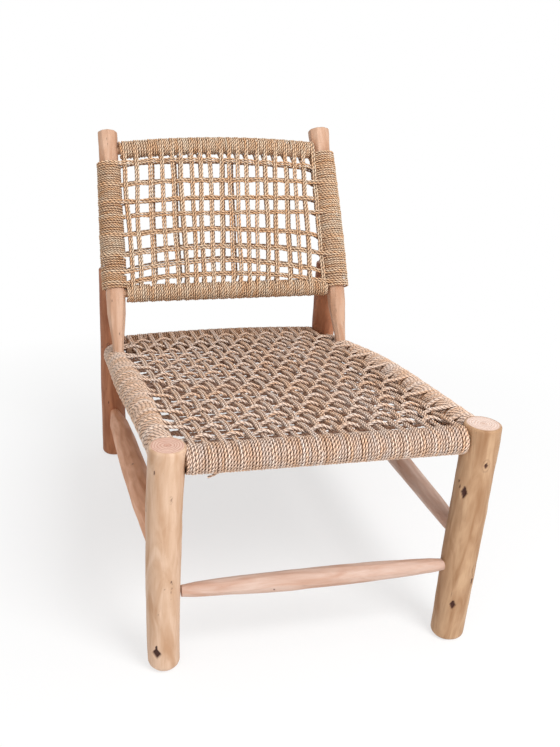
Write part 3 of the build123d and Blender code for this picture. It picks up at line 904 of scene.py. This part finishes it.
# ---------------------------------------------------------------- ropes of the chair
# middles of the wound poles, by the node of their winding
SPINES = {
    "seat_front_winding": Spine(SEAT_FRONT),
    "seat_rear_winding": Spine(SEAT_REAR, UP * REAR_RAIL_BOW),
    "back_bottom_winding": Spine(BACK_BOTTOM),
    "back_top_winding": Spine(BACK_TOP, BACK_UP * BACK_TOP_BOW),
}
for side, outward in (("left", -RIGHT), ("right", RIGHT)):
    bow = UP * SIDE_RAIL_BOW + outward * SIDE_RAIL_SPREAD
    SPINES["seat_side_winding_" + side] = Spine(SIDE_RAIL[side], bow)
    SPINES["upright_winding_" + side] = Spine(UPRIGHT[side], outward * UPRIGHT_SPREAD)
SEAT_SIDES, BACK_SIDES = (
    tuple(SPINES[node + side] for side in ("left", "right"))
    for node in ("seat_side_winding_", "upright_winding_")
)

# where each weft crosses the back, from the low rail's middle: at the left, middle and right
BACK_ROWS = (
    (20, 34, 8), (43, 62, 30), (80, 93, 71), (123, 132, 111),
    (163, 169, 167), (195, 203, 200), (233, 242, 235), (279, 288, 272),
)
# and where each warp leaves the low and the high rail of the back
BACK_WARPS = (
    (-211, -193, -168, -138, -114, -94, -74, -56, -36, -16,
     6, 24, 44, 62, 87, 107, 136, 161, 184, 215),
    (-209, -184, -153, -129, -106, -88, -64, -44, -24, 3,
     22, 41, 61, 86, 105, 128, 151, 172, 192, 215),
)
SEAT_WARPS_AT = ORIGIN[0] + np.linspace(-1, 1, SEAT_WARPS) * (REAR_SPACING / 2 - SEAT_MARGIN)
SEAT_PANEL = Panel(SPINES["seat_front_winding"], SPINES["seat_rear_winding"], ())
BACK_PANEL = Panel(SPINES["back_bottom_winding"], SPINES["back_top_winding"], BACK_ROWS)


def seat_rows():
    """Wefts that stand a little further apart toward the rear, none of them quite straight."""
    rng = np.random.default_rng(88)
    last = SEAT_PANEL.length - SEAT_LAST_WEFT
    steps = np.linspace(1, 1.22, SEAT_WEFTS - 1)
    places = np.concatenate([[0], np.cumsum(steps)]) / steps.sum()
    places = SEAT_FIRST_WEFT + (last - SEAT_FIRST_WEFT) * places
    return [tuple(place + rng.uniform(-2.6, 2.6, 3)) for place in places]


SEAT_PANEL.rows = seat_rows()


def bulge(share, at, wide):
    return np.exp(-(((share - at) / wide) ** 2))


# how much thicker than one layer of rope the windings are, by share of their pole's length: thin
# where a rail meets its legs, thickest behind a side rail's middle and about an upright's middle
BELLY = {
    "plain": lambda share: 0.0,
    "front": lambda share: 0.8 - 2.6 * bulge(np.minimum(share, 1 - share), 0, 0.06),
    "side": lambda share: 4.5 * bulge(share, 0.55, 0.22) - 2.2 * bulge(share, 1, 0.05),
    "left": lambda share: 0.6 + 1.6 * bulge(share, 0.45, 0.2),
    "right": lambda share: 3.8 + 1.8 * bulge(share, 0.5, 0.25),
}


def make_windings():
    """Windings of the rails and the uprights, open where the panels' strands loop round them."""
    strands = {}
    for node, places in (
        ("seat_front_winding", SEAT_WARPS_AT), ("seat_rear_winding", SEAT_WARPS_AT),
        ("back_bottom_winding", BACK_WARPS[0]), ("back_top_winding", BACK_WARPS[1]),
    ):
        spine = SPINES[node]
        strands[node] = [spine.share_at(x) * spine.length for x in places]
    for node, panel in (("seat_side_winding_", SEAT_PANEL), ("upright_winding_", BACK_PANEL)):
        for side, end in (("left", 0), ("right", 2)):
            spine = SPINES[node + side]
            places = [panel.share_of(spine, row[end]) * spine.length for row in panel.rows]
            strands[node + side] = places

    seat, back, post = SEAT_RAIL_RADIUS, BACK_RAIL_RADIUS, UPRIGHT_RADIUS
    rows = (  # piece, node, radius of the core, lengths left bare at its ends, pitch, bulge, painted shade
        ("front_wrap", "seat_front_winding", seat, (26, 30), 4.6, "front", 0.19, seat_rope),
        ("rear_wrap", "seat_rear_winding", seat, (27, 27), 4.8, "plain", 0.26, darker_seat_rope),
        ("side_wrap_left", "seat_side_winding_left", seat, (30, 28), 4.9, "side", 0.2, seat_rope),
        ("side_wrap_right", "seat_side_winding_right", seat, (33, 28), 4.9, "side", 0.1, seat_rope),
        ("back_low_wrap", "back_bottom_winding", back, (23, 23), 4.8, "plain", 0.0, back_rope),
        ("back_top_wrap", "back_top_winding", back, (22, 22), 4.8, "plain", 0.0, back_rope),
        ("post_wrap_left", "upright_winding_left", post, (157, 68), 5.1, "left", 0.17, back_rope),
        ("post_wrap_right", "upright_winding_right", post, (145, 56), 5.1, "right", 0.0, back_rope),
    )
    for seed, (name, node, core, bare, pitch, belly, shade_share, rope) in enumerate(rows, 101):
        group = RopeGroup(seed)
        spine = SPINES[node]
        run = (bare[0], spine.length - bare[1])
        wind(group, spine, core, run, strands[node], pitch, BELLY[belly], shade_share, seed)
        if name == "front_wrap":
            loose_end(group, spine)
        group.finish(name, rope, [node])


def loose_end(group, spine):
    """The tail that hangs a little under the front rail."""
    start = spine.at(0.16) - UP * (SEAT_RAIL_RADIUS + 3)
    share = np.linspace(0, 1, 30)[:, None]
    path = start - RIGHT * 20 * share - UP * 11 * share**0.6
    group.add(path, np.tile([0, -1.0, 0], (30, 1)), radius=2.2)


HALF_WIDTH = 226  # of a panel, to the middles of its side poles
SETTLE = 3.0  # how far a panel's face side lies below the tops of its rails
ROPE_REACH = ROPE / 2 + PROUD  # from a pole's surface to the middle of a strand round it


@dataclass
class Weave:
    """Doubled strands looped round a panel's rails and darned together on its face side."""

    prefix: str
    panel: Panel
    material: object
    seed: int
    sides: tuple  # the two poles' spines that carry the wefts
    side_reach: tuple  # from their middles to those of the wefts, by share of their length
    rail_reach: float  # the same for the rails that carry the warps
    warps_at: np.ndarray  # where the warps leave the low rail, and the high one
    dip: float  # how far a warp gives way at a crossing
    rise: float  # and a weft
    sag: float  # of the face side's middle
    follow: float  # how far the face side's edges follow the side poles' bulges
    behind_shade: float  # how dark the painted shade on the layer behind is
    lay: float
    behind_across: object  # how far its warps stand off those of the face side
    behind_along: float  # and its wefts
    loose: float  # how far both stray from there
    extra_rows: tuple = ()  # of the layer behind
    extra_columns: tuple = ()

    def __post_init__(self):
        self.rng = np.random.default_rng(self.seed)
        self.warps_at = np.asarray(self.warps_at, float)
        self.middle = self.warps_at.mean()

    def level(self, x, distance):
        """Height of the face side's middle: it follows the rails and gives way a little."""
        panel = self.panel
        low, high = (panel.rail_at(rail, x)[1] for rail in (panel.low, panel.high))
        run = np.clip(distance / panel.length, 0, 1)
        off = (x - self.middle) / HALF_WIDTH
        hollow = np.sin(np.pi * run) * np.cos(np.pi * np.clip(off, -1, 1) / 2)
        side = 0 if x < self.middle else 1
        reach = self.side_reach[side]
        lifted = reach(panel.share_of(self.sides[side], distance)) - reach(0.0)
        lifted = lifted * np.clip(np.abs(off), 0, 1) ** 3
        face = low + (high - low) * run + self.rail_reach - SETTLE
        return face - self.sag * hollow + self.follow * lifted

    def pair(self, group, path, place, gaps, upward, face=None):
        """Two ropes side by side up or across the panel, each its gap off the strand's middle."""
        beside = RIGHT if upward else self.panel.along
        # the layer behind, and its extra strands, are darkened by painted shade
        looks = {"dim": self.behind_shade}
        if face is not None:
            looks = {"dim": self.behind_shade * (1 - face), "closed": True, "lay": self.lay}
        for side, gap in zip((-1, 1), gaps):
            spot = place + side * (ROPE / 2 + gap)
            x, distance = (spot, path[:, 0]) if upward else (path[:, 0], spot)
            middle = self.panel.world(x, distance, path[:, 1])
            group.add(middle, np.tile(beside, (len(middle), 1)), **looks)

    def gaps(self, seed, share, size, waves):
        """How far the two ropes of a strand stray from each other."""
        return [size * np.abs(noise(self.seed + seed + side, waves)(share)) for side in (-1, 1)]

    def warp(self, group, i):
        panel = self.panel
        x_low, x_high = self.warps_at[:, i]
        low, high = panel.rail_at(panel.low, x_low), panel.rail_at(panel.high, x_high)
        x = (x_low + x_high) / 2
        crossings = [row_at(row, (x - self.middle) / HALF_WIDTH) for row in panel.rows]
        first, over, last, under = loop_round(low, high, (self.rail_reach, self.rail_reach))
        run = over[:, 0]
        phase = np.interp(run, crossings, np.arange(len(crossings)))
        woven = np.array([self.level(x, distance) for distance in run])
        woven += self.dip * np.cos(np.pi * (phase + i))
        over[:, 1] += inside(run, low[0], high[0], 26) * (woven - over[:, 1])
        run = under[:, 0]
        slack = SETTLE + 0.4 * self.sag * np.sin(np.pi * run / panel.length)
        under[:, 1] += inside(run, low[0], high[0], 40) * slack
        loop, face = joined(first, over, last, under)

        share = (loop[:, 0] - low[0]) / (high[0] - low[0])
        sway = noise(self.seed + 10 + i, 4)(share / 2)
        fade = ease(np.minimum(share, 1 - share) * 5)
        behind = self.behind_across(x) + self.rng.uniform(-self.loose, self.loose)
        place = x_low + (x_high - x_low) * np.clip(share, 0, 1)
        place = place + 1.5 * sway * fade + (1 - face) * behind
        gaps = self.gaps(40 + 2 * i, share / 2, 0.35 * fade, 6)
        self.pair(group, loop, place, gaps, True, face)

    def weft(self, group, j):
        panel = self.panel
        row = panel.rows[j]
        ends, reach = [], []
        for spine, distance, radius in zip(self.sides, (row[0], row[2]), self.side_reach):
            share = panel.share_of(spine, distance)
            where = spine.at(share)
            ends.append(np.array([where[0], panel.flat(where)[1]]))
            reach.append(radius(share))
        left, right = (end[0] for end in ends)
        first, over, last, under = loop_round(*ends, reach)
        x = over[:, 0]
        low, high = self.warps_at
        warps = low + (high - low) * row[1] / panel.length
        phase = np.interp(x, warps, np.arange(len(warps)))
        distances = row_at(row, (x - self.middle) / HALF_WIDTH)
        woven = np.array([self.level(*spot) for spot in zip(x, distances)])
        woven -= self.rise * np.cos(np.pi * (phase + j))
        over[:, 1] += inside(x, left, right, 34) * (woven - over[:, 1])
        slack = SETTLE + ROPE - self.rail_reach - under[:, 1]
        under[:, 1] += inside(under[:, 0], left, right, 60) * slack
        loop, face = joined(first, over, last, under)

        share = (loop[:, 0] - self.middle) / HALF_WIDTH
        fade = ease((1.05 - np.abs(share)) * 6)
        sway = noise(self.seed + 70 + j, 6)(share / 4)
        behind = self.behind_along + self.rng.uniform(-self.loose, self.loose)
        place = row_at(row, share) + 1.4 * sway * fade + (1 - face) * behind
        gaps = self.gaps(90 + 2 * j, share / 4, 0.4 * fade, 7)
        self.pair(group, loop, place, gaps, False, face)

    def extra_column(self, group, number, x):
        panel = self.panel
        low, high = panel.rail_at(panel.low, x), panel.rail_at(panel.high, x)
        ends = low + (2, -self.rail_reach), high + (-2, -self.rail_reach)
        path = run_between(*ends, UNDER_STEP)
        share = (path[:, 0] - low[0]) / (high[0] - low[0])
        path[:, 1] += inside(share, 0, 1, 1 / 8) * (SETTLE + 0.5)
        sway = noise(self.seed + 150 + number, 5)(share / 2)
        self.pair(group, path, x + 2.0 * sway, (0.3, 0.3), True)

    def extra_row(self, group, number, distance):
        panel = self.panel
        ends = []
        for spine, radius, side in zip(self.sides, self.side_reach, (-1, 1)):
            share = panel.share_of(spine, distance)
            where = spine.at(share)
            height = panel.flat(where)[1] - radius(share) * 0.55
            ends.append(np.array([where[0] - side * radius(share) * 0.6, height]))
        path = run_between(*ends, UNDER_STEP)
        slack = SETTLE + ROPE - self.rail_reach - path[:, 1]
        path[:, 1] += inside(path[:, 0], *(end[0] for end in ends), 50) * slack
        sway = noise(self.seed + 170 + number, 5)(path[:, 0] / 900)
        self.pair(group, path, distance + 2.5 * sway, (0.2, 0.2), False)

    def share_out(self, strand, count, parts, seed):
        """Groups of like strands, each one a piece."""
        size = -(-count // parts)
        groups = []
        for number in range(count):
            if number % size == 0:
                groups.append(RopeGroup(self.seed + seed + number))
            strand(groups[-1], number)
        return groups

    def make(self):
        pieces = {
            "warps": self.share_out(self.warp, self.warps_at.shape[1], 4, 0),
            "wefts": self.share_out(self.weft, len(self.panel.rows), 2, 50),
        }
        if self.extra_rows:
            under = RopeGroup(self.seed + 60)
            for number, x in enumerate(self.extra_columns):
                self.extra_column(under, number, x)
            for number, distance in enumerate(self.extra_rows):
                self.extra_row(under, number, distance)
            pieces["under"] = [under]
        faces = ("top", "bottom") if self.prefix == "seat" else ("front", "rear")
        for key, groups in pieces.items():
            kind = "wefts" if key == "under" else key
            nodes = [f"{self.prefix}_{kind}_{face}" for face in faces]
            for number, group in enumerate(groups, 1):
                group.finish(f"{self.prefix}_{key}_{number}", self.material, nodes)


def round_pole(core, belly):
    """Reach of a strand round a wound pole, by share of the pole's length."""
    return lambda share: core + ROPE_REACH + BELLY[belly](share)


def make_weaves():
    rows = np.array(SEAT_PANEL.rows)[:, 1]
    Weave(
        "seat", SEAT_PANEL, seat_rope, 500,
        sides=SEAT_SIDES,
        side_reach=(round_pole(SEAT_RAIL_RADIUS, "side"),) * 2,
        rail_reach=SEAT_RAIL_RADIUS + ROPE_REACH,
        warps_at=(SEAT_WARPS_AT, SEAT_WARPS_AT),
        dip=2.2, rise=3.8, sag=4.0, follow=1.0, behind_shade=0.9, lay=15.0,
        behind_across=lambda x: 7 * np.sign(x) * np.abs(x / 214) ** 6,
        behind_along=0.0, loose=2.0,
        extra_rows=(rows[0] - 25, *(rows[1:] + rows[:-1]) / 2, rows[-1] + 27),
        extra_columns=(-225, 223),
    ).make()
    Weave(
        "back", BACK_PANEL, back_rope, 700,
        sides=BACK_SIDES,
        side_reach=tuple(round_pole(UPRIGHT_RADIUS, side) for side in ("left", "right")),
        rail_reach=BACK_RAIL_RADIUS + ROPE_REACH,
        warps_at=BACK_WARPS,
        dip=1.3, rise=3.9, sag=0.0, follow=0.0, behind_shade=0.5, lay=18.0,
        behind_across=lambda x: 4.0 + 7.0 * (x + HALF_WIDTH) / (2 * HALF_WIDTH),
        behind_along=7.5, loose=4.0,
    ).make()


# ---------------------------------------------------------------- stage
FLOOR_SIZE = 12.0  # half of it, in metres
FLOOR_GREY = 0.93
WHITE = (1.0, 1.0, 1.0)
STUDIO_LIGHT = 0.55


def seen_ray(n):
    """One for what the camera sees, straight or in something shiny or clear."""
    path = n.add("ShaderNodeLightPath").outputs
    mirrored = n.math("MAXIMUM", path["Is Glossy Ray"], path["Is Transmission Ray"])
    return n.math("MAXIMUM", path["Is Camera Ray"], mirrored)


def whitened(n, share, surface, white, output):
    """Joins a surface to the material's or the world's output, with a share of white over it."""
    mixed = n.add("ShaderNodeMixShader", {0: share, 1: surface, 2: white.outputs[0]})
    n.feed(n.tree.nodes[output], {"Surface": mixed.outputs[0]})


def make_floor():
    """Pale and dull near the chair, where it keeps the shadow, and white far from it."""
    size = FLOOR_SIZE
    corners = [(-size, -size, 0), (size, -size, 0), (size, size, 0), (-size, size, 0)]
    mesh = bpy.data.meshes.new("floor")
    mesh.from_pydata(corners, [], [(0, 1, 2, 3)])
    material, n, shader = new_material("floor")
    grey = (FLOOR_GREY,) * 3
    n.feed(shader, {"Base Color": grey, "Roughness": 1.0, "Specular IOR Level": 0.0})
    away = n.length(n.add("ShaderNodeTexCoord").outputs["Object"])
    far = n.range(away, 0.3, 1.2, 0.6, 1.0)
    glow = n.add("ShaderNodeEmission", {"Color": WHITE})
    share = n.math("MULTIPLY", far, seen_ray(n))
    whitened(n, share, shader.outputs[0], glow, "Material Output")
    mesh.materials.append(material)
    floor = placed("floor", mesh)


def make_world():
    world = bpy.data.worlds.new("studio")
    bpy.context.scene.world = world
    world.use_nodes = True
    n = Nodes(world.node_tree)
    light = n.tree.nodes["Background"]
    n.feed(light, {"Color": WHITE, "Strength": STUDIO_LIGHT})
    white = n.add("ShaderNodeBackground", {"Color": WHITE, "Strength": 1.0})
    whitened(n, seen_ray(n), light.outputs[0], white, "World Output")


def area_light(name, place, size, power):
    """Round soft light that looks at the chair's middle."""
    lamp = bpy.data.lights.new(name, "AREA")
    lamp.shape = "DISK"
    lamp.size = size
    lamp.energy = power
    turn = (Vector((0, 0, 0.3)) - Vector(place)).to_track_quat("-Z", "Y").to_matrix().to_4x4()
    placed(name, lamp).matrix_world = Matrix.Translation(place) @ turn


# where the photo was taken from, as fitted to the points marked in it
CAMERA_PLACE = np.array([-0.4401, -1.1581, 1.0007]) + ORIGIN * MM
CAMERA_AZIMUTH = -17.004
CAMERA_ELEVATION = 22.395
CAMERA_ROLL = 3.093


def make_camera():
    camera = bpy.data.cameras.new("camera")
    camera.sensor_fit = "VERTICAL"
    camera.sensor_height = 24.0
    camera.lens = 29.03
    turn = Matrix.Translation(CAMERA_PLACE.tolist())
    for angle, axis in ((CAMERA_AZIMUTH, "Z"), (90 - CAMERA_ELEVATION, "X"), (CAMERA_ROLL, "Z")):
        turn = turn @ Matrix.Rotation(np.radians(angle), 4, axis)
    bpy.context.scene.camera = placed("camera", camera)
    bpy.context.scene.camera.matrix_world = turn


make_camera()
make_floor()
make_world()
area_light("key", (0.9, -2.3, 2.7), 1.6, 86)
area_light("fill", (-1.6, -2.4, 1.2), 1.8, 12)
make_cores()
make_legs()
make_uprights()
make_stretchers()
make_windings()
make_weaves()
bpy.context.scene.view_settings.view_transform = "Standard"
